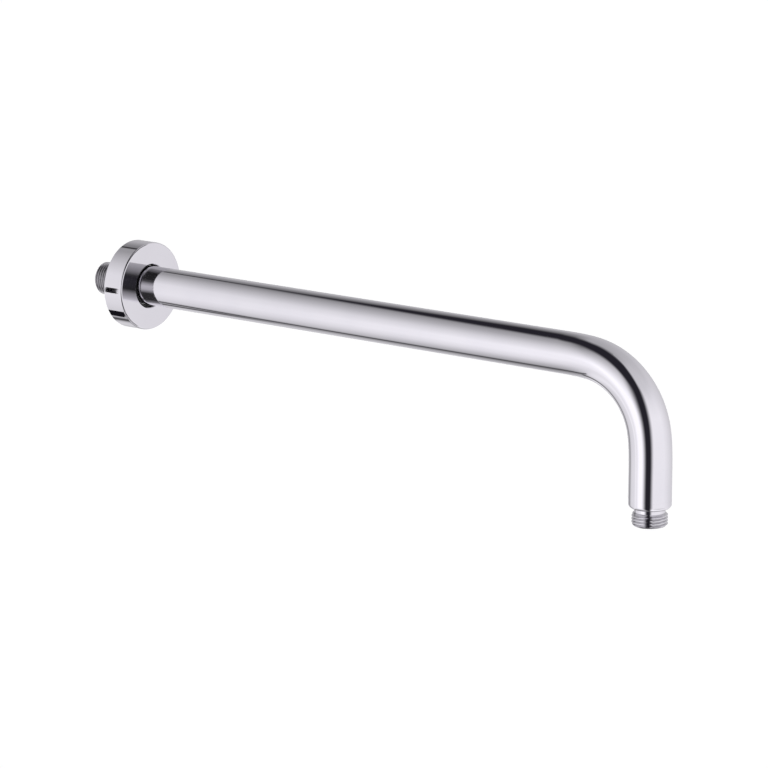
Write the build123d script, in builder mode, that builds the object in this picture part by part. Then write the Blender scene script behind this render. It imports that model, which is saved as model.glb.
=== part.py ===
from build123d import *
import os

# Wall-mounted shower arm: a bent, chrome-plated brass tube with a turned, threaded nipple brazed
# into each end, and a round wall flange that slides and turns on the tube over a rubber O-ring.
# Millimetres. The origin is on the inlet axis in the wall plane. +X runs along the arm, away from
# the wall, +Z is up, and the outlet drops along -Z.

# Bent tube
reach = 400.0  # wall plane to outlet axis
drop = 83.0  # inlet axis to the end face of the outlet collar
bend_radius = 48.0  # on the centreline
tube_diameter = 25.0
tube_wall = 1.2

# Half-inch parallel pipe thread, modelled as a plain cylinder over its crests
thread_diameter = 20.955
thread_depth = 1.162

# Turned nipples
spigot_length = 10.0  # the length that goes into the tube
spigot_lead = 0.8  # chamfer that guides the spigot into the tube
braze_clearance = 0.05  # radial, between spigot and tube
collar_length = 5.0  # outside the tube and flush with it
collar_round = 2.5  # on the collar's edge beside the thread
collar_land = 0.5  # flat ring that the rounding leaves beside the neck
inlet_neck = 1.2  # full-depth relief between collar and thread
outlet_neck = 2.2
neck_undercut = 0.3  # radial, below the thread's root
nipple_wall = 1.5  # between neck and bore
mouth_chamfer = 0.5  # at both ends of the bore
inlet_inset = 4.0  # wall plane to the end face of the inlet collar
inlet_reach = 25.7  # wall plane to the inlet end, into the wall
outlet_thread_length = 10.3  # end face of the outlet collar to the outlet end

# Wall flange
flange_diameter = 56.0
flange_thickness = 14.5
flange_clearance = 1.5  # radial, between bore and tube
flange_sag = 0.5  # the flange hangs this far below the inlet axis
face_wall = 3.0
skirt_wall = 2.2
hub_wall = 2.4  # outside the O-ring groove
front_lip = 2.0  # between groove and front face
rear_lip = 2.0  # between groove and the hub's back end
rim_round = 1.0  # outer edge of the front face
bore_chamfer = 0.4  # both edges of the bore
recess_round = 1.0  # inner corners of the recess

# O-ring
ring_section = 2.5
ring_clearance = 0.05  # radial, where the ring bears on the tube and the flange on the ring
groove_play = 0.5  # groove width beyond the ring's section

# Sizes that follow from these
tube_radius = tube_diameter / 2
tube_bore_radius = tube_radius - tube_wall
spigot_radius = tube_bore_radius - braze_clearance
thread_radius = thread_diameter / 2
thread_root_radius = thread_radius - thread_depth
neck_radius = thread_root_radius - neck_undercut
nipple_bore_radius = neck_radius - nipple_wall
collar_edge = min(collar_round, tube_radius - neck_radius - collar_land, collar_length)
tube_inlet = inlet_inset + collar_length
tube_outlet = drop - collar_length
flange_radius = flange_diameter / 2
flange_bore_radius = tube_radius + flange_clearance
ring_radius = tube_radius + ring_clearance + ring_section / 2
groove_radius = ring_radius + ring_section / 2 + ring_clearance + flange_sag
groove_width = ring_section + groove_play
groove_front = flange_thickness - front_lip
groove_back = groove_front - groove_width
hub_back = groove_back - rear_lip
hub_radius = groove_radius + hub_wall
recess_floor = flange_thickness - face_wall
recess_radius = flange_radius - skirt_wall


# A nipple is turned about the x direction of its seat. The seat's origin is at the centre of the
# tube's end, with x pointing out of the tube.
def turned_nipple(seat, neck_length, thread_length):
    neck_end = collar_length + neck_length
    thread_start = neck_end + thread_radius - neck_radius
    nipple_end = collar_length + thread_length
    with BuildPart() as nipple:
        with BuildSketch(seat) as section:
            with BuildLine():
                Polyline(
                    (-spigot_length, nipple_bore_radius + mouth_chamfer),
                    (-spigot_length, spigot_radius - spigot_lead),
                    (-spigot_length + spigot_lead, spigot_radius),
                    (0, spigot_radius),
                    (0, tube_radius),
                    (collar_length - collar_edge, tube_radius),
                )
                RadiusArc(
                    (collar_length - collar_edge, tube_radius),
                    (collar_length, tube_radius - collar_edge),
                    collar_edge,
                )
                Polyline(
                    (collar_length, tube_radius - collar_edge),
                    (collar_length, neck_radius),
                    (neck_end, neck_radius),
                    (thread_start, thread_radius),
                    (nipple_end - thread_depth, thread_radius),
                    (nipple_end, thread_root_radius),
                    (nipple_end, nipple_bore_radius + mouth_chamfer),
                    (nipple_end - mouth_chamfer, nipple_bore_radius),
                    (-spigot_length + mouth_chamfer, nipple_bore_radius),
                    (-spigot_length, nipple_bore_radius + mouth_chamfer),
                )
            make_face()
        revolve(axis=Axis(seat.origin, seat.x_dir))
    return nipple


# Bent tube, cut square at both ends
with BuildPart() as arm_tube:
    with BuildLine(Plane.XZ) as route:
        FilletPolyline((tube_inlet, 0), (reach, 0), (reach, -tube_outlet), radius=bend_radius)
    with BuildSketch(Plane.YZ.offset(tube_inlet)):
        Circle(tube_radius)
        Circle(tube_bore_radius, mode=Mode.SUBTRACT)
    sweep(path=route.line)

# Nipples, with their collars butted against the tube's ends
inlet_seat = Plane(origin=(tube_inlet, 0, 0), x_dir=(-1, 0, 0), z_dir=(0, 1, 0))
outlet_seat = Plane(origin=(reach, 0, -tube_outlet), x_dir=(0, 0, -1), z_dir=(0, 1, 0))
inlet_nipple = turned_nipple(inlet_seat, inlet_neck, inlet_inset + inlet_reach)
outlet_nipple = turned_nipple(outlet_seat, outlet_neck, outlet_thread_length)

# Wall flange: a cup with its open back on the wall and a grooved hub round the tube
flange_plane = Plane(origin=(0, 0, -flange_sag), x_dir=(1, 0, 0), z_dir=(0, -1, 0))
with BuildPart() as wall_flange:
    with BuildSketch(flange_plane) as flange_section:
        with BuildLine():
            Polyline(
                (0, flange_radius),
                (flange_thickness, flange_radius),
                (flange_thickness, flange_bore_radius + bore_chamfer),
                (flange_thickness - bore_chamfer, flange_bore_radius),
                (groove_front, flange_bore_radius),
                (groove_front, groove_radius),
                (groove_back, groove_radius),
                (groove_back, flange_bore_radius),
                (hub_back + bore_chamfer, flange_bore_radius),
                (hub_back, flange_bore_radius + bore_chamfer),
                (hub_back, hub_radius),
                (recess_floor, hub_radius),
                (recess_floor, recess_radius),
                (0, recess_radius),
                close=True,
            )
        make_face()
        rim = flange_section.vertices().sort_by_distance((flange_thickness, flange_radius))[0]
        hub_foot = flange_section.vertices().sort_by_distance((recess_floor, hub_radius))[0]
        skirt_foot = flange_section.vertices().sort_by_distance((recess_floor, recess_radius))[0]
        fillet(rim, radius=rim_round)
        fillet([hub_foot, skirt_foot], radius=min(recess_round, (recess_radius - hub_radius) / 3))
    revolve(axis=Axis(flange_plane.origin, flange_plane.x_dir))

# O-ring, centred in the groove's width and concentric with the tube
with BuildPart() as flange_o_ring:
    with BuildSketch(Plane.XZ):
        with Locations(((groove_front + groove_back) / 2, ring_radius)):
            Circle(ring_section / 2)
    revolve(axis=Axis.X)

pieces = {
    "arm_tube": arm_tube,
    "inlet_nipple": inlet_nipple,
    "outlet_nipple": outlet_nipple,
    "wall_flange": wall_flange,
    "flange_o_ring": flange_o_ring,
}
os.makedirs("parts", exist_ok=True)
for name, piece in pieces.items():
    piece.part.label = name
    export_step(piece.part, f"parts/{name}.step")
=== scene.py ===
import math

import bmesh
import bpy
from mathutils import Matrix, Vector


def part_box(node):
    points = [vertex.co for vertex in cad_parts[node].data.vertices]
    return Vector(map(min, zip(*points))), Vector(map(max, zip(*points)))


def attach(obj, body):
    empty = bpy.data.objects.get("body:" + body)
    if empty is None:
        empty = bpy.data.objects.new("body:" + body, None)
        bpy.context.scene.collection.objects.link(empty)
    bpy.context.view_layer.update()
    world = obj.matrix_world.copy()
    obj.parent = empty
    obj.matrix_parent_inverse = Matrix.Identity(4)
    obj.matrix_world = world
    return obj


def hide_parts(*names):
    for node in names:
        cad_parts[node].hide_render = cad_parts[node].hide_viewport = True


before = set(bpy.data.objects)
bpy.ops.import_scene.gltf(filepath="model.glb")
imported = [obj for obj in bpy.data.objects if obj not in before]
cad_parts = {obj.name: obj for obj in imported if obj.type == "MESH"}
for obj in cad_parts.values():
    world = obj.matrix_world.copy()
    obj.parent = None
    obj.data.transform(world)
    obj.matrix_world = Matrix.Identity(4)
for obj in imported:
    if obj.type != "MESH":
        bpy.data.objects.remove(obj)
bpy.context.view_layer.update()  # the imported pieces, flattened in place
mm = 0.001
fullTurn = 2 * math.pi
circle = 360.0  # the same in degrees
degrees = 180.0 / math.pi  # in one radian
hair = 0.001 * mm  # points closer than this are the same spot
weld = 0.0005 * mm  # points closer than this are merged
sharpEdge = math.radians(32)  # steeper edges stay crisp
print("frame loaded:", ", ".join(sorted(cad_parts)))


# Shader maths: a socket that takes part in sums like a number

class Wire:
    def __init__(self, tree, socket=None):
        self.tree = tree
        self.socket = socket

    def add(self, kind, settings=None, values=None, output=0):  # any node: settings first, then sockets
        node = self.tree.nodes.new(kind)
        for name, value in (settings or {}).items():
            if name == "stops":
                layStops(node.color_ramp, value)
            else:
                setattr(node, name, value)
        for name, value in (values or {}).items():
            if isinstance(value, Wire):
                self.tree.links.new(value.socket, node.inputs[name])
            else:
                node.inputs[name].default_value = value
        return Wire(self.tree, node.outputs[output] if node.outputs else None)

    def maths(self, operation, first, second=0.0):
        return self.add("ShaderNodeMath", {"operation": operation}, {0: first, 1: second})

    def __add__(self, other):
        return self.maths("ADD", self, other)

    def __radd__(self, other):
        return self.maths("ADD", other, self)

    def __sub__(self, other):
        return self.maths("SUBTRACT", self, other)

    def __rsub__(self, other):
        return self.maths("SUBTRACT", other, self)

    def __mul__(self, other):
        return self.maths("MULTIPLY", self, other)

    def __pow__(self, other):
        return self.maths("POWER", self, other)

    def between(self, low, high):  # kept inside two limits
        return self.maths("MINIMUM", self.maths("MAXIMUM", self, low), high)

    def above(self, level, softness):  # 0 below a level, 1 above it, with a soft step between
        places = {"Value": self, "From Min": level - softness / 2, "From Max": level + softness / 2}
        return self.add("ShaderNodeMapRange", {"interpolation_type": "SMOOTHSTEP"}, places)

    def along(self, start, end, low=0.0, high=1.0):  # a straight change from low to high
        places = {"Value": self, "From Min": start, "From Max": end, "To Min": low, "To Max": high}
        return self.add("ShaderNodeMapRange", None, places)

    def mixWith(self, other, share):  # self where share is 0, other where it is 1
        return self + (other - self) * share


def layStops(ramp, stops):
    while len(ramp.elements) < len(stops):
        ramp.elements.new(1.0)
    for element, (place, colour) in zip(ramp.elements, stops):
        element.position = place
        element.color = colour


def blendColour(wire, share, first, second):
    settings = {"data_type": "RGBA", "clamp_factor": True}
    return wire.add("ShaderNodeMix", settings, {0: share, 6: first, 7: second}, output=2)


def noise(wire, place, scale, detail):
    return wire.add("ShaderNodeTexNoise", None, {"Vector": place, "Scale": scale, "Detail": detail})


def relief(wire, height):
    return wire.add("ShaderNodeBump", None, {"Height": height, "Strength": 1.0, "Distance": 1.0})


def splitAxes(wire, vector, names):
    return [wire.add("ShaderNodeSeparateXYZ", None, {"Vector": vector}, output=name) for name in names]


def newFinish(name):
    finish = bpy.data.materials.new(name)
    finish.use_nodes = True
    finish.node_tree.nodes.clear()
    return finish, Wire(finish.node_tree)


def closeFinish(wire, sockets):
    shader = wire.add("ShaderNodeBsdfPrincipled", None, sockets)
    wire.add("ShaderNodeOutputMaterial", None, {"Surface": shader})


# Bench work: drawing an outline, turning it, placing the result

def clearSelection():
    if bpy.context.mode != "OBJECT":
        bpy.ops.object.mode_set(mode="OBJECT")
    bpy.ops.object.select_all(action="DESELECT")


def takeUp(piece):  # make a piece the one that operators act on
    clearSelection()
    piece.select_set(True)
    bpy.context.view_layer.objects.active = piece


def pickPoints(piece, test):
    bpy.ops.mesh.select_mode(type="VERT")
    bpy.ops.mesh.select_all(action="DESELECT")
    mesh = bmesh.from_edit_mesh(piece.data)
    for vert in mesh.verts:
        vert.select_set(test(vert.co))
    mesh.select_flush(True)
    bmesh.update_edit_mesh(piece.data)


def drawOutline(name, points):  # closed outline in the XZ plane: X out from the axis, Z along it
    clearSelection()
    bpy.ops.mesh.primitive_plane_add(size=mm)
    piece = bpy.context.object
    piece.name = name
    piece.data.name = name
    start = Vector((points[0][0], 0.0, points[0][1]))
    end = Vector((points[-1][0], 0.0, points[-1][1]))
    bpy.ops.object.mode_set(mode="EDIT")
    bpy.ops.mesh.select_all(action="SELECT")
    bpy.ops.mesh.merge(type="CENTER")
    bpy.ops.transform.translate(value=start)
    for here, there in zip(points, points[1:]):
        step = (there[0] - here[0], 0.0, there[1] - here[1])
        bpy.ops.mesh.extrude_region_move(TRANSFORM_OT_translate={"value": step})
    pickPoints(piece, lambda spot: (spot - start).length < hair or (spot - end).length < hair)
    bpy.ops.mesh.edge_face_add()
    bpy.ops.mesh.select_all(action="SELECT")
    bpy.ops.mesh.edge_face_add()
    return piece


def roundCorner(piece, corner, radius, steps):  # on the flat outline, before it is turned
    spot = Vector((corner[0], 0.0, corner[1]))
    pickPoints(piece, lambda point: (point - spot).length < hair)
    bpy.ops.mesh.bevel(offset=radius, segments=steps, affect="VERTICES", clamp_overlap=False)


def turnOutline(piece, steps):  # a full turn about Z
    bpy.ops.mesh.select_all(action="SELECT")
    bpy.ops.mesh.delete(type="ONLY_FACE")
    bpy.ops.mesh.select_all(action="SELECT")
    bpy.ops.mesh.spin(steps=steps, angle=fullTurn, center=(0, 0, 0), axis=(0, 0, 1))
    tidyMesh()
    bpy.ops.object.mode_set(mode="OBJECT")


def tidyMesh():
    bpy.ops.mesh.select_all(action="SELECT")
    bpy.ops.mesh.remove_doubles(threshold=weld)
    bpy.ops.mesh.normals_make_consistent(inside=False)


def applyModifier(piece, kind, **settings):
    takeUp(piece)
    bpy.ops.object.modifier_add(type=kind)
    modifier = piece.modifiers[-1]
    for name, value in settings.items():
        setattr(modifier, name, value)
    bpy.ops.object.modifier_apply(modifier=modifier.name)


def settle(piece, turn, place):  # turn and move a piece, then put that into its mesh
    takeUp(piece)
    piece.rotation_euler = turn
    piece.location = place
    bpy.ops.object.transform_apply(location=True, rotation=True, scale=True)


def finishPiece(piece, body, node, finish):
    takeUp(piece)
    bpy.ops.object.shade_smooth_by_angle(angle=sharpEdge)
    piece.data.materials.append(finish)
    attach(piece, body)
    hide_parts(node)
    print(f"{piece.name}: {len(piece.data.polygons)} faces")


# Chrome plate: polished, with soft hazy patches, fine polishing lines and a faint orange peel

plate = {
    "tone": (0.930, 0.915, 0.955, 1.0),  # cool, faintly violet
    "toneLow": (0.905, 0.890, 0.935, 1.0),  # where the plate is a little hazy
    "hazeScale": 45.0,  # patches a couple of centimetres wide
    "hazeStart": 0.35,
    "hazeEnd": 0.70,
    "roughLow": 0.030,
    "roughHigh": 0.060,
    "lineScale": 1400.0,  # polishing lines, along X
    "lineStretch": (0.02, 1.0, 1.0),
    "lineRough": 0.015,
    "waveScale": 28.0,  # slow waviness left by buffing
    "waveDepth": 0.010 * mm,
    "peelScale": 900.0,
    "peelDepth": 0.00006 * mm,
}


def chromeNodes(wire, look):
    place = wire.add("ShaderNodeTexCoord", output="Object")
    haze = noise(wire, place, look["hazeScale"], detail=4.0).along(look["hazeStart"], look["hazeEnd"])
    grain = wire.add("ShaderNodeMapping", None, {"Vector": place, "Scale": look["lineStretch"]})
    lines = noise(wire, grain, look["lineScale"], detail=2.0)
    wave = noise(wire, place, look["waveScale"], detail=0.0)
    peel = noise(wire, place, look["peelScale"], detail=1.0)
    tone = blendColour(wire, haze, look["tone"], look["toneLow"])
    rough = haze.along(0.0, 1.0, look["roughLow"], look["roughHigh"]) + (lines - 0.5) * look["lineRough"]
    bump = relief(wire, wave * look["waveDepth"] + peel * look["peelDepth"])
    return tone, rough, bump


def polishedChrome(name, look):
    finish, wire = newFinish(name)
    tone, rough, bump = chromeNodes(wire, look)
    sockets = {"Base Color": tone, "Roughness": rough, "Metallic": 1.0, "Normal": bump}
    closeFinish(wire, sockets)
    return finish


print("chrome ready")


# Tube: a circle drawn out along X, spun round an eased bend and drawn down to the outlet

tubeForm = {
    "sides": 192,
    "wall": 1.2 * mm,
    "ease": ((2.0, 250.0 * mm), (3.0, 120.0 * mm), (5.0, 70.0 * mm)),  # degrees and centreline radius
    "bend": (70.0, 45.83 * mm),  # between the easing at its two ends
    "stepsPerDegree": 1.5,
    "edgeLoop": 1.0 * mm,  # close ring beside each end of a run
}


def bentTube(form):
    low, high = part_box("arm_tube")
    radius = high.y
    outletX = high.x - radius
    stages = (*form["ease"], form["bend"], *reversed(form["ease"]))
    arcs = [(math.radians(angle), length) for angle, length in stages]
    reach = 0.0  # of the whole bend, along X
    turned = 0.0
    for angle, length in arcs:
        reach += length * (math.sin(turned + angle) - math.sin(turned))
        turned += angle
    bendX = outletX - reach
    loop = form["edgeLoop"]
    clearSelection()
    bpy.ops.mesh.primitive_circle_add(
        vertices=form["sides"], radius=radius, location=(low.x, 0, 0), rotation=(0, math.pi / 2, 0)
    )
    piece = bpy.context.object
    piece.name = "armTube"
    piece.data.name = "armTube"
    bpy.ops.object.transform_apply(location=True, rotation=True)
    bpy.ops.object.mode_set(mode="EDIT")
    bpy.ops.mesh.select_all(action="SELECT")
    for step in (loop, bendX - low.x - 2 * loop, loop):
        bpy.ops.mesh.extrude_region_move(TRANSFORM_OT_translate={"value": (step, 0, 0)})
    end = Vector((bendX, 0, 0))
    turned = 0.0
    for angle, length in arcs:
        middle = end - length * Vector((math.sin(turned), 0, math.cos(turned)))
        steps = math.ceil(math.degrees(angle) * form["stepsPerDegree"])
        back = -angle  # spin counts the other way
        bpy.ops.mesh.spin(steps=steps, angle=back, center=middle, axis=(0, 1, 0))
        turned += angle
        end = middle + length * Vector((math.sin(turned), 0, math.cos(turned)))
    fall = end.z - low.z
    for step in (loop, fall - 2 * loop, loop):
        bpy.ops.mesh.extrude_region_move(TRANSFORM_OT_translate={"value": (0, 0, -step)})
    tidyMesh()
    bpy.ops.object.mode_set(mode="OBJECT")
    applyModifier(piece, "SOLIDIFY", thickness=form["wall"], offset=-1.0, use_even_offset=True)
    return piece


armTube = bentTube(tubeForm)
tubeChrome = polishedChrome("tubeChrome", plate)
finishPiece(armTube, "arm", "arm_tube", tubeChrome)


# Nipples: turned about Z with the thread pointing up, then cut by a wound V groove

nippleForm = {
    "steps": 128,
    "tubeRadius": 12.5 * mm,
    "collar": 5.0 * mm,
    "collarRound": 2.5 * mm,
    "roundSteps": 12,
    "edgeLoop": 0.1 * mm,  # close ring beside the collar's rounding
    "spigot": 10.0 * mm,
    "spigotRadius": 11.25 * mm,
    "spigotLead": 0.8 * mm,
    "neck": 1.2 * mm,
    "neckRadius": 9.0155 * mm,
    "boreRadius": 7.5155 * mm,
    "mouth": 0.5 * mm,
    "crestRadius": 10.4775 * mm,
    "pitch": 1.814 * mm,
    "depth": 1.162 * mm,
    "flank": 27.5,  # degrees, each side of the groove
    "rootRound": 0.249 * mm,
    "rootSteps": 4,
    "clear": 0.2 * mm,  # the groove's cutter stands out beyond the crests
    "windSteps": 96,
}


def threadGroove(form, length):
    tip = form["pitch"] / 2 / math.tan(math.radians(form["flank"]))  # height of the full V
    over = (tip - form["depth"]) / 2  # the V's point lies this far below the rounded root
    root = form["crestRadius"] - form["depth"]
    reach = form["depth"] + over + form["clear"]
    half = reach * math.tan(math.radians(form["flank"]))
    start = form["collar"] + form["neck"] / 2
    outer = form["crestRadius"] + form["clear"]
    points = ((root - over, start), (outer, start + half), (outer, start - half))
    groove = drawOutline("threadGroove", points)
    slide = form["rootRound"] / math.tan(math.radians(form["flank"]))
    roundCorner(groove, points[0], slide, form["rootSteps"])
    bpy.ops.mesh.select_all(action="SELECT")
    bpy.ops.mesh.delete(type="ONLY_FACE")
    bpy.ops.object.mode_set(mode="OBJECT")
    turns = math.ceil(length / form["pitch"]) + 1
    applyModifier(
        groove,
        "SCREW",
        axis="Z",
        angle=fullTurn,
        screw_offset=form["pitch"],
        iterations=turns,
        steps=form["windSteps"],
        render_steps=form["windSteps"],
    )
    bpy.ops.object.mode_set(mode="EDIT")
    bpy.ops.mesh.select_all(action="SELECT")
    bpy.ops.mesh.fill_holes(sides=0)
    tidyMesh()
    bpy.ops.object.mode_set(mode="OBJECT")
    return groove


def turnedNipple(name, form, length):  # length from the collar's face to the end of the thread
    face = form["collar"]
    end = face + length
    neckEnd = face + form["neck"]
    shoulder = form["crestRadius"] - form["neckRadius"]
    rootRadius = form["crestRadius"] - form["depth"]
    back = -form["spigot"]
    bore = form["boreRadius"]
    mouth = form["mouth"]
    edge = (form["tubeRadius"], face)
    points = (
        (bore + mouth, back),
        (form["spigotRadius"] - form["spigotLead"], back),
        (form["spigotRadius"], back + form["spigotLead"]),
        (form["spigotRadius"], 0.0),
        (form["tubeRadius"], 0.0),
        (form["tubeRadius"], face - form["collarRound"] - form["edgeLoop"]),
        edge,
        (form["neckRadius"], face),
        (form["neckRadius"], neckEnd),
        (form["crestRadius"], neckEnd + shoulder),
        (form["crestRadius"], end - form["depth"]),
        (rootRadius, end),
        (bore + mouth, end),
        (bore, end - mouth),
        (bore, back + mouth),
    )
    piece = drawOutline(name, points)
    roundCorner(piece, edge, form["collarRound"], form["roundSteps"])
    turnOutline(piece, form["steps"])
    groove = threadGroove(form, length)
    applyModifier(piece, "BOOLEAN", operation="DIFFERENCE", solver="EXACT", object=groove)
    bpy.data.objects.remove(groove)
    return piece


def nippleChrome(name, look, axis, sign, start):  # duller in the thread, with a painted shade darkening its roots
    finish, wire = newFinish(name)
    tone, rough, bump = chromeNodes(wire, look)
    place = wire.add("ShaderNodeTexCoord", output="Object")
    offset = wire.add("ShaderNodeMapping", None, {"Vector": place, "Location": look["toAxis"]})
    run, first, second = splitAxes(wire, offset, axis + "XYZ".replace(axis, ""))
    radius = (first * first + second * second) ** 0.5
    onThread = (run * sign).above(start, look["threadFade"])
    # painted shade: 1 in the thread's roots, 0 on its crests, blended towards a near-black tone below
    root = 1.0 - radius.along(look["rootRadius"], look["crestRadius"])
    worn = noise(wire, place, look["wearScale"], detail=5.0).along(look["wearStart"], look["wearEnd"])
    dull = blendColour(wire, worn, look["dullTone"], look["dullLow"])
    dull = blendColour(wire, root * look["rootShadeShare"], dull, look["rootShadeTone"])
    tone = blendColour(wire, onThread, tone, dull)
    dullRough = worn.along(0.0, 1.0, look["dullRoughLow"], look["dullRoughHigh"])
    rough = rough.mixWith(dullRough, onThread)
    sockets = {"Base Color": tone, "Roughness": rough, "Metallic": 1.0, "Normal": bump}
    closeFinish(wire, sockets)
    return finish


threadLook = {
    **plate,
    "rootRadius": 9.3 * mm,
    "crestRadius": 10.5 * mm,
    # near-black tone of the painted shade in the thread roots
    "rootShadeTone": (0.10, 0.10, 0.11, 1.0),
    "threadFade": 0.4 * mm,
    "wearScale": 700.0,
    "wearStart": 0.3,
    "wearEnd": 0.7,
}
inletLook = {
    **threadLook,
    "toAxis": (0.0, 0.0, 0.0),
    "dullTone": (0.68, 0.67, 0.69, 1.0),
    "dullLow": (0.52, 0.51, 0.53, 1.0),
    # strength of the painted root shade
    "rootShadeShare": 0.65,
    "dullRoughLow": 0.16,
    "dullRoughHigh": 0.28,
}

inletLow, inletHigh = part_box("inlet_nipple")
inletFace = inletHigh.x - nippleForm["spigot"] - nippleForm["collar"]
inletNipple = turnedNipple("inletNipple", nippleForm, inletFace - inletLow.x)
settle(inletNipple, (0, -math.pi / 2, 0), (inletFace + nippleForm["collar"], 0, 0))
inletChrome = nippleChrome("inletChrome", inletLook, "X", -1.0, nippleForm["neck"] - inletFace)
finishPiece(inletNipple, "arm", "inlet_nipple", inletChrome)

outletForm = {**nippleForm, "neck": 2.2 * mm}
outletLow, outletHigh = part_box("outlet_nipple")
outletX = (outletLow.x + outletHigh.x) / 2
outletLook = {
    **threadLook,
    "toAxis": (-outletX, 0.0, 0.0),
    "dullTone": (0.93, 0.92, 0.95, 1.0),
    "dullLow": (0.88, 0.87, 0.90, 1.0),
    # strength of the painted root shade
    "rootShadeShare": 0.3,
    "dullRoughLow": 0.06,
    "dullRoughHigh": 0.12,
}
outletFace = outletHigh.z - outletForm["spigot"] - outletForm["collar"]
outletNipple = turnedNipple("outletNipple", outletForm, outletFace - outletLow.z)
settle(outletNipple, (math.pi, 0, 0), (outletX, 0, outletFace + outletForm["collar"]))
outletChrome = nippleChrome("outletChrome", outletLook, "Z", -1.0, outletForm["neck"] - outletFace)
finishPiece(outletNipple, "arm", "outlet_nipple", outletChrome)


# Wall flange: a turned cup with a grooved hub, its open back against the wall

flangeForm = {
    "steps": 224,
    "faceWall": 3.0 * mm,
    "skirtWall": 2.2 * mm,
    "boreRadius": 14.0 * mm,
    "boreChamfer": 0.4 * mm,
    "grooveRadius": 15.6 * mm,
    "grooveBack": 9.5 * mm,
    "grooveFront": 12.5 * mm,
    "hubBack": 7.5 * mm,
    "hubRadius": 18.0 * mm,
    "rimRound": 1.0 * mm,
    "recessRound": 1.0 * mm,
    "roundSteps": 6,
    "edgeLoop": 0.1 * mm,  # close ring on each side of the rim's rounding
}


def turnedFlange(form):
    low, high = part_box("wall_flange")
    radius = high.y
    thick = high.x
    floor = thick - form["faceWall"]
    recess = radius - form["skirtWall"]
    bore = form["boreRadius"]
    ease = form["boreChamfer"]
    rim = (radius, thick)
    near = form["rimRound"] + form["edgeLoop"]
    hubFoot = (form["hubRadius"], floor)
    skirtFoot = (recess, floor)
    points = (
        (radius, low.x),
        (radius, thick - near),
        rim,
        (radius - near, thick),
        (bore + ease, thick),
        (bore, thick - ease),
        (bore, form["grooveFront"]),
        (form["grooveRadius"], form["grooveFront"]),
        (form["grooveRadius"], form["grooveBack"]),
        (bore, form["grooveBack"]),
        (bore, form["hubBack"] + ease),
        (bore + ease, form["hubBack"]),
        (form["hubRadius"], form["hubBack"]),
        hubFoot,
        skirtFoot,
        (recess, low.x),
    )
    piece = drawOutline("wallFlange", points)
    roundCorner(piece, rim, form["rimRound"], form["roundSteps"])
    roundCorner(piece, hubFoot, form["recessRound"], form["roundSteps"])
    roundCorner(piece, skirtFoot, form["recessRound"], form["roundSteps"])
    turnOutline(piece, form["steps"])
    settle(piece, (0, math.pi / 2, 0), (0, 0, (low.z + high.z) / 2))
    return piece


wallFlange = turnedFlange(flangeForm)
# the arm's chrome with a darker tone: a painted shade that dims the flange
flangeShadedPlate = {
    **plate,
    "tone": (0.880, 0.865, 0.903, 1.0),
    "toneLow": (0.855, 0.840, 0.880, 1.0),
    "waveDepth": 0.004 * mm,
}
flangeChrome = polishedChrome("flangeChrome", flangeShadedPlate)
finishPiece(wallFlange, "flange", "wall_flange", flangeChrome)


# O-ring: a round section with its mould line, turned about the tube

ringForm = {
    "steps": 160,
    "sectionSides": 28,
    "flash": 0.03 * mm,  # mould line on the widest part
}


def rubberRing(form):
    low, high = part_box("flange_o_ring")
    section = (high.x - low.x) / 2
    middle = high.y - section
    clearSelection()
    bpy.ops.mesh.primitive_circle_add(
        vertices=form["sectionSides"],
        radius=section - form["flash"],
        location=(middle, 0, 0),
        rotation=(math.pi / 2, 0, 0),
    )
    piece = bpy.context.object
    piece.name = "gripRing"
    piece.data.name = "gripRing"
    bpy.ops.object.transform_apply(location=True, rotation=True)
    bpy.ops.object.mode_set(mode="EDIT")
    pickPoints(piece, lambda spot: abs(spot.z) < hair and spot.x > middle)
    bpy.ops.transform.translate(value=(form["flash"], 0, 0))
    bpy.ops.mesh.select_all(action="SELECT")
    bpy.ops.mesh.spin(steps=form["steps"], angle=fullTurn, center=(0, 0, 0), axis=(0, 0, 1))
    tidyMesh()
    bpy.ops.object.mode_set(mode="OBJECT")
    settle(piece, (0, math.pi / 2, 0), ((low.x + high.x) / 2, 0, 0))
    return piece


rubber = {
    "tone": (0.016, 0.016, 0.017, 1.0),
    "toneDusty": (0.050, 0.050, 0.052, 1.0),
    "dustScale": 260.0,
    "dustStart": 0.45,
    "dustEnd": 0.75,
    "roughLow": 0.42,
    "roughHigh": 0.68,
    "grainScale": 5000.0,
    "grainDepth": 0.01 * mm,
}


def mattRubber(name, look):
    finish, wire = newFinish(name)
    place = wire.add("ShaderNodeTexCoord", output="Object")
    dust = noise(wire, place, look["dustScale"], detail=6.0).along(look["dustStart"], look["dustEnd"])
    grain = noise(wire, place, look["grainScale"], detail=2.0)
    tone = blendColour(wire, dust, look["tone"], look["toneDusty"])
    rough = dust.along(0.0, 1.0, look["roughLow"], look["roughHigh"])
    bump = relief(wire, grain * look["grainDepth"])
    sockets = {"Base Color": tone, "Roughness": rough, "Normal": bump}
    closeFinish(wire, sockets)
    return finish


gripRing = rubberRing(ringForm)
finishPiece(gripRing, "grip_ring", "flange_o_ring", mattRubber("ringRubber", rubber))


# Floor: pale, white to the camera, keeps the soft shadow, clear from below

floorForm = {
    "height": -0.45,
    "size": 24.0,
    "paint": (0.5, 0.5, 0.5, 1.0),
    "glow": 0.62,
}


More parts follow.
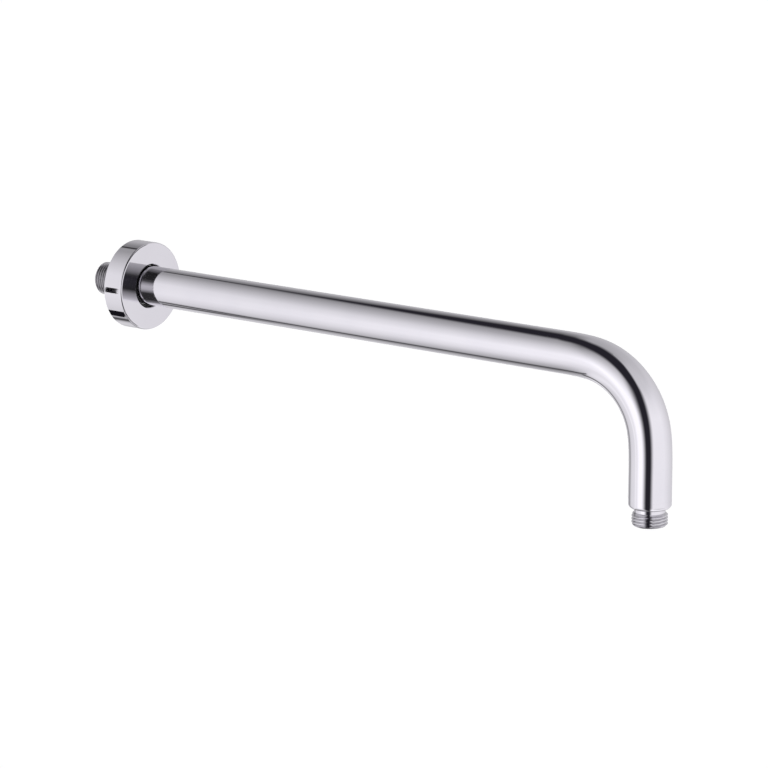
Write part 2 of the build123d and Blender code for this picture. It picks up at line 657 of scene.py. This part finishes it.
def paleFloor(form):
    clearSelection()
    bpy.ops.mesh.primitive_plane_add(size=form["size"], location=(0, 0, form["height"]))
    floor = bpy.context.object
    floor.name = "paleFloor"
    finish, wire = newFinish("palePaint")
    isCamera = wire.add("ShaderNodeLightPath", output="Is Camera Ray")
    fromBelow = wire.add("ShaderNodeNewGeometry", output="Backfacing")
    paint = wire.add("ShaderNodeBsdfDiffuse", None, {"Color": form["paint"]})
    glow = wire.add("ShaderNodeEmission", None, {"Strength": isCamera * form["glow"]})
    lit = wire.add("ShaderNodeAddShader", None, {0: paint, 1: glow})
    clear = wire.add("ShaderNodeBsdfTransparent")
    surface = wire.add("ShaderNodeMixShader", None, {0: fromBelow, 1: lit, 2: clear})
    wire.add("ShaderNodeOutputMaterial", None, {"Surface": surface})
    floor.data.materials.append(finish)
    floor.visible_glossy = False  # polished metal mirrors the tent instead


paleFloor(floorForm)
print("floor laid")


# Light tent, mirrored by the metal and not seen by the camera: front sheet, right wall and back wall.
# Its angles, in degrees, and its tones are matched to the stripes that the picture shows on the metal

tent = {
    "tint": (1.012, 1.0, 1.035),  # brightness 1 is white
    "gapTone": (0.0185, 0.0173, 0.0232),
    "sheetFar": ((-122, 0.72), (-106, 0.50), (-74, 0.70), (-25, 0.77),  # brightness by turn
                 (0, 0.75), (30, 0.80), (60, 0.65), (100, 0.37)),
    "sheetNear": ((-122, 0.24), (-106, 0.07), (-74, 0.33), (-50, 0.80), (-25, 1.05),
                  (0, 1.08), (30, 0.61), (60, 0.22), (100, 0.02)),
    "farOff": 46.0,
    "nearOff": 62.0,
    "rightWall": ((-50, 0.95), (-15, 0.86), (15, 0.87), (32, 0.78), (46, 0.63), (70, 0.54), (86, 0.39)),
    "backWall": ((-40, 0.68), (-10, 0.51), (15, 0.46), (60, 0.40), (86, 0.39)),
    "footOff": 138.0,  # the right wall is dimmer at its foot
    "footOffSoft": 28.0,
    "footHigh": -26.0,
    "footSoft": 26.0,
    "footShare": 0.45,
    "rightBearing": 112.0,
    "backBearing": 222.0,
    "wrapBearing": -30.0,  # what lies further left than this is the back wall
    "slitLeft": 4.0,  # the lens looks in between these two bearings
    "slitLeftSoft": 28.0,
    "slitRight": 46.0,
    "slitRightSoft": 22.0,
    "slitLean": 0.245,
    "slitLow": -20.0,
    "slitHigh": 60.0,
    "underTurn": -135.0,  # a lower turn is counted the other way round, over the top
    "belowTurn": -100.0,  # under the arm the sheet fades into the right wall
    "belowTurnSoft": 20.0,
    "belowOff": 92.0,
    "belowSoft": 56.0,
    "gapFront": ((48, 120), (50, 110), (52, 100), (56, 76),  # the sheet's top edge, by off
                 (68, 60), (84, 49), (104, 32)),
    "gapFrontSoft": 17.0,
    "gapBack": ((48, 112), (51, 117), (54.5, 126), (56, 117), (60, 108),  # the back wall's top edge
                (68, 99), (84, 92), (104, 83), (124, 62)),
    "gapBackSoft": 18.0,
    "dimShare": 0.7,  # the far end of the back wall is dimmer beside the gap
    "dimWidth": 40.0,
    "dimEnd": 61.0,
    "dimEndSoft": 10.0,
    "lineTurn": 117.0,  # thin line where the gap closes
    "lineWidth": 6.0,
    "lineTone": 0.02,
    "lineEnd": 50.0,
    "lineEndSoft": 2.0,
    "shadeBelow": ((48, 82), (50, 91), (52, 95), (56, 97)),  # thin shadow under the arm, by off
    "shadeWidth": 12.0,
    "shadeTone": 0.066,
    "shadeStart": 47.6,
    "shadeStartSoft": 1.6,
    "shadeEnd": 66.0,
    "shadeEndSoft": 12.0,
    "glowOff": 42.5,  # the sheet's brightest strip
    "glowWidth": 8.0,
    "glowShare": 0.18,
    "seamBearing": -104.0,  # dark seam where the sheet meets the back wall
    "seamWidth": 12.0,
    "seamTones": ((-44.0, 0.06), (-34.0, 0.14), (-14.0, 0.24)),  # by elevation
    "seamEnd": 50.2,
    "seamEndSoft": 1.6,
    "seamTop": 5.0,
    "seamTopSoft": 10.0,
    "secondDepth": 2.5,  # deeper rays have been mirrored twice
    "secondShare": 0.83,
    "secondTurn": ((-180, 0.72), (-130, 0.80), (-110, 0.58), (-80, 0.37), (-55, 0.22), (-45, 0.12),
                   (-30, 0.01), (45, 0.005), (58, 0.03), (70, 0.12), (90, 0.23), (120, 0.33),
                   (160, 0.41), (180, 0.47)),
    "secondOff": 131.7,  # the arm and the flange's face turn each other's reflections this way
    "secondWidth": 8.0,
}


def follow(value, stops):  # a broken line through stops of place and height
    low = stops[0][0]
    high = stops[-1][0]
    tall = max(height for place, height in stops)
    marks = [((place - low) / (high - low), (height / tall,) * 3 + (1.0,)) for place, height in stops]
    return value.add("ShaderNodeValToRGB", {"stops": marks}, {"Fac": value.along(low, high)}) * tall


def softBand(value, width):  # 1 at 0, soft on both sides
    return value.above(-width / 2, width) * (1.0 - value.above(width / 2, width))


def tentAngles(wire):  # of a mirrored ray, in degrees
    ray = wire.add("ShaderNodeTexCoord", output="Generated")
    x, y, z = splitAxes(wire, ray, "XYZ")
    bearing = wire.maths("ARCTAN2", x, y * -1.0) * degrees  # 0 at -Y, 90 at +X
    elevation = wire.maths("ARCSINE", z) * degrees
    turn = wire.maths("ARCTAN2", z, y * -1.0) * degrees  # round the arm, 0 at -Y, 90 upwards
    off = wire.maths("ARCCOSINE", x * -1.0) * degrees  # away from -X
    return bearing, elevation, turn, off


def frontSheet(turn, off, look):
    near = off.along(look["farOff"], look["nearOff"])
    sheet = follow(turn, look["sheetFar"]).mixWith(follow(turn, look["sheetNear"]), near)
    sheet = sheet * (1.0 + softBand(off - look["glowOff"], look["glowWidth"]) * look["glowShare"])
    shade = softBand(turn + follow(off, look["shadeBelow"]), look["shadeWidth"])
    shade = shade * off.above(look["shadeStart"], look["shadeStartSoft"])
    shade = shade * (1.0 - off.above(look["shadeEnd"], look["shadeEndSoft"]))
    return sheet.mixWith(look["shadeTone"], shade)


def sideWalls(bearing, elevation, off, past, look):
    wrapped = bearing.maths("LESS_THAN", bearing, look["wrapBearing"])
    behind = (bearing + wrapped * circle).along(look["rightBearing"], look["backBearing"])
    walls = follow(elevation, look["rightWall"]).mixWith(follow(elevation, look["backWall"]), behind)
    foot = 1.0 - elevation.above(look["footHigh"], look["footSoft"])
    foot = foot * off.above(look["footOff"], look["footOffSoft"])
    walls = walls * (1.0 - foot * look["footShare"])
    dim = 1.0 - past.along(0.0, look["dimWidth"])
    dim = dim * (1.0 - off.above(look["dimEnd"], look["dimEndSoft"]))
    return walls * (1.0 - dim * look["dimShare"])


def darkSeams(bright, bearing, elevation, upper, off, look):
    line = softBand(upper - look["lineTurn"], look["lineWidth"])
    line = line * (1.0 - off.above(look["lineEnd"], look["lineEndSoft"]))
    bright = bright.mixWith(look["lineTone"], line)
    seam = softBand(bearing - look["seamBearing"], look["seamWidth"])
    seam = seam * (1.0 - off.above(look["seamEnd"], look["seamEndSoft"]))
    seam = seam * (1.0 - elevation.above(look["seamTop"], look["seamTopSoft"]))
    return bright.mixWith(follow(elevation, look["seamTones"]), seam)


def lightTent(look):
    world = bpy.data.worlds.new("lightTent")
    world.use_nodes = True
    world.node_tree.nodes.clear()
    bpy.context.scene.world = world
    wire = Wire(world.node_tree)
    bearing, elevation, turn, off = tentAngles(wire)
    under = wire.maths("LESS_THAN", turn, look["underTurn"])
    upper = turn + under * circle
    past = upper - follow(off, look["gapBack"])
    fromSlit = bearing - elevation.between(look["slitLow"], look["slitHigh"]) * look["slitLean"]
    below = 1.0 - turn.above(look["belowTurn"], look["belowTurnSoft"])
    fromEnd = 1.0 - off.above(look["belowOff"], look["belowSoft"])
    leftOfSlit = 1.0 - fromSlit.above(look["slitLeft"], look["slitLeftSoft"])
    onSheet = 1.0 - (upper - follow(off, look["gapFront"])).above(0.0, look["gapFrontSoft"])
    onSheet = onSheet * leftOfSlit.mixWith(fromEnd, below)
    inGap = 1.0 - past.above(0.0, look["gapBackSoft"])
    inGap = inGap * (1.0 - fromSlit.above(look["slitRight"], look["slitRightSoft"])) * (1.0 - below)
    onWalls = (1.0 - inGap) * (1.0 - onSheet)
    sheet = frontSheet(turn, off, look)
    walls = sideWalls(bearing, elevation, off, past, look)
    bright = darkSeams(sheet * onSheet + walls * onWalls, bearing, elevation, upper, off, look)
    depth = wire.add("ShaderNodeLightPath", output="Ray Depth")
    second = wire.maths("GREATER_THAN", depth, look["secondDepth"])
    atFlange = softBand(off - look["secondOff"], look["secondWidth"])
    twice = (bright * look["secondShare"]).mixWith(follow(turn, look["secondTurn"]), atFlange)
    bright = bright.mixWith(twice, second)
    glow = wire.add("ShaderNodeVectorMath", {"operation": "SCALE"}, {0: look["tint"], "Scale": bright})
    unlit = 1.0 - onSheet - onWalls
    dark = wire.add("ShaderNodeVectorMath", {"operation": "SCALE"}, {0: look["gapTone"], "Scale": unlit})
    colour = wire.add("ShaderNodeVectorMath", {"operation": "ADD"}, {0: glow, 1: dark})
    tentLight = wire.add("ShaderNodeBackground", None, {"Color": colour})
    white = wire.add("ShaderNodeBackground", None, {"Color": (1.0, 1.0, 1.0, 1.0)})
    isCamera = wire.add("ShaderNodeLightPath", output="Is Camera Ray")
    shown = wire.add("ShaderNodeMixShader", None, {0: isCamera, 1: tentLight, 2: white})
    wire.add("ShaderNodeOutputWorld", None, {"Surface": shown})


lightTent(tent)
print("tent lit")


# Black cards beside and below the flange, which its rim mirrors as dark patches

cardForm = {
    "width": 10.8 * mm,
    "height": 30.0 * mm,
    "place": (-95.35 * mm, -136.0 * mm, -26.0 * mm),
    "tilt": 103.5,  # degrees, upright is 90
    "tone": (0.012, 0.011, 0.015, 1.0),
}
lowCardForm = {
    **cardForm,
    "width": 21.5 * mm,
    "height": 26.4 * mm,
    "place": (-55.25 * mm, -33.0 * mm, -80.0 * mm),
    "tilt": 0.0,
}


def mirrorOnly(card):  # polished metal alone sees it
    card.visible_camera = False
    card.visible_diffuse = False
    card.visible_shadow = False


def blackCard(name, form):
    clearSelection()
    tilt = (math.radians(form["tilt"]), 0, 0)
    bpy.ops.mesh.primitive_plane_add(size=1.0, location=form["place"], rotation=tilt)
    card = bpy.context.object
    card.name = name
    card.scale = (form["width"], form["height"], 1.0)
    bpy.ops.object.transform_apply(location=False, rotation=False, scale=True)
    finish, wire = newFinish("blackPaper")
    paper = wire.add("ShaderNodeBsdfDiffuse", None, {"Color": form["tone"]})
    wire.add("ShaderNodeOutputMaterial", None, {"Surface": paper})
    card.data.materials.append(finish)
    mirrorOnly(card)


blackCard("blackCard", cardForm)
blackCard("lowCard", lowCardForm)


# Ring card round the arm, seen only from the flange's side: the face mirrors it onto the arm's root

ringCardForm = {
    "ahead": 30.0 * mm,  # of the wall
    "centre": (-2.3 * mm, 0.8 * mm),  # along Y and Z
    "sides": 96,
    "inner": 30.2 * mm,
    "innerSoft": 0.4 * mm,
    "outer": 50.0 * mm,
    "start": -90.0,  # degrees round the arm, 0 at -Y and 90 upwards
    "end": 110.0,
    "endSoft": 8.0,
    "tones": ((-90, 0.24), (-80, 0.16), (-66, 0.03), (-28, 0.03), (-8, 0.46), (6, 0.52),
              (18, 0.34), (30, 0.08), (42, 0.02), (80, 0.015), (100, 0.16), (110, 0.20)),
}


def ringCard(form, tint):
    clearSelection()
    middle = (form["ahead"], *form["centre"])
    bpy.ops.mesh.primitive_circle_add(
        vertices=form["sides"],
        radius=form["outer"],
        fill_type="NGON",
        location=middle,
        rotation=(0, -math.pi / 2, 0),
    )
    card = bpy.context.object
    card.name = "ringCard"
    bpy.ops.object.transform_apply(location=True, rotation=True)
    finish, wire = newFinish("ringPaper")
    place = wire.add("ShaderNodeTexCoord", output="Object")
    y, z = splitAxes(wire, place, "YZ")
    turn = wire.maths("ARCTAN2", z, y * -1.0) * degrees
    tone = follow(turn, form["tones"])
    acrossY = y - form["centre"][0]
    acrossZ = z - form["centre"][1]
    radius = (acrossY * acrossY + acrossZ * acrossZ) ** 0.5
    pastStart = turn.above(form["start"], form["endSoft"])
    pastEnd = turn.above(form["end"], form["endSoft"])
    fromBehind = wire.add("ShaderNodeNewGeometry", output="Backfacing")
    shown = radius.above(form["inner"], form["innerSoft"]) * pastStart * (1.0 - pastEnd) * (1.0 - fromBehind)
    colour = wire.add("ShaderNodeVectorMath", {"operation": "SCALE"}, {0: tint, "Scale": tone})
    glow = wire.add("ShaderNodeEmission", None, {"Color": colour})
    clear = wire.add("ShaderNodeBsdfTransparent")
    surface = wire.add("ShaderNodeMixShader", None, {0: shown, 1: clear, 2: glow})
    wire.add("ShaderNodeOutputMaterial", None, {"Surface": surface})
    card.data.materials.append(finish)
    mirrorOnly(card)


ringCard(ringCardForm, tent["tint"])
print("cards set")


# One soft overhead lamp, for the floor's shadow

lampForm = {
    "strength": 1.2,
    "spread": 24.0,  # degrees
    "tilt": (8.0, -6.0, 0.0),
}


def overheadLamp(form):
    clearSelection()
    bpy.ops.object.light_add(type="SUN", rotation=[math.radians(angle) for angle in form["tilt"]])
    lamp = bpy.context.object
    lamp.name = "overheadLamp"
    lamp.data.energy = form["strength"]
    lamp.data.angle = math.radians(form["spread"])
    lamp.visible_glossy = False


overheadLamp(lampForm)


# Camera at the viewpoint of the picture

cameraForm = {
    "target": (0.20454, 0.0, -0.03778),
    "bearing": 38.632,  # degrees
    "elevation": 12.716,
    "distance": 2.08012,
    "lens": 160.86,
    "sensor": 36.0,
}


def studioCamera(form):
    bearing = math.radians(form["bearing"])
    elevation = math.radians(form["elevation"])
    flat = math.cos(elevation)
    back = Vector((math.sin(bearing) * flat, -math.cos(bearing) * flat, math.sin(elevation)))
    bpy.ops.object.camera_add(location=Vector(form["target"]) + back * form["distance"])
    camera = bpy.context.object
    camera.name = "studioCamera"
    camera.rotation_euler = (-back).to_track_quat("-Z", "Y").to_euler()
    camera.data.lens = form["lens"]
    camera.data.sensor_width = form["sensor"]
    bpy.context.scene.camera = camera


studioCamera(cameraForm)
bpy.context.scene.view_settings.view_transform = "Standard"
print("camera set")
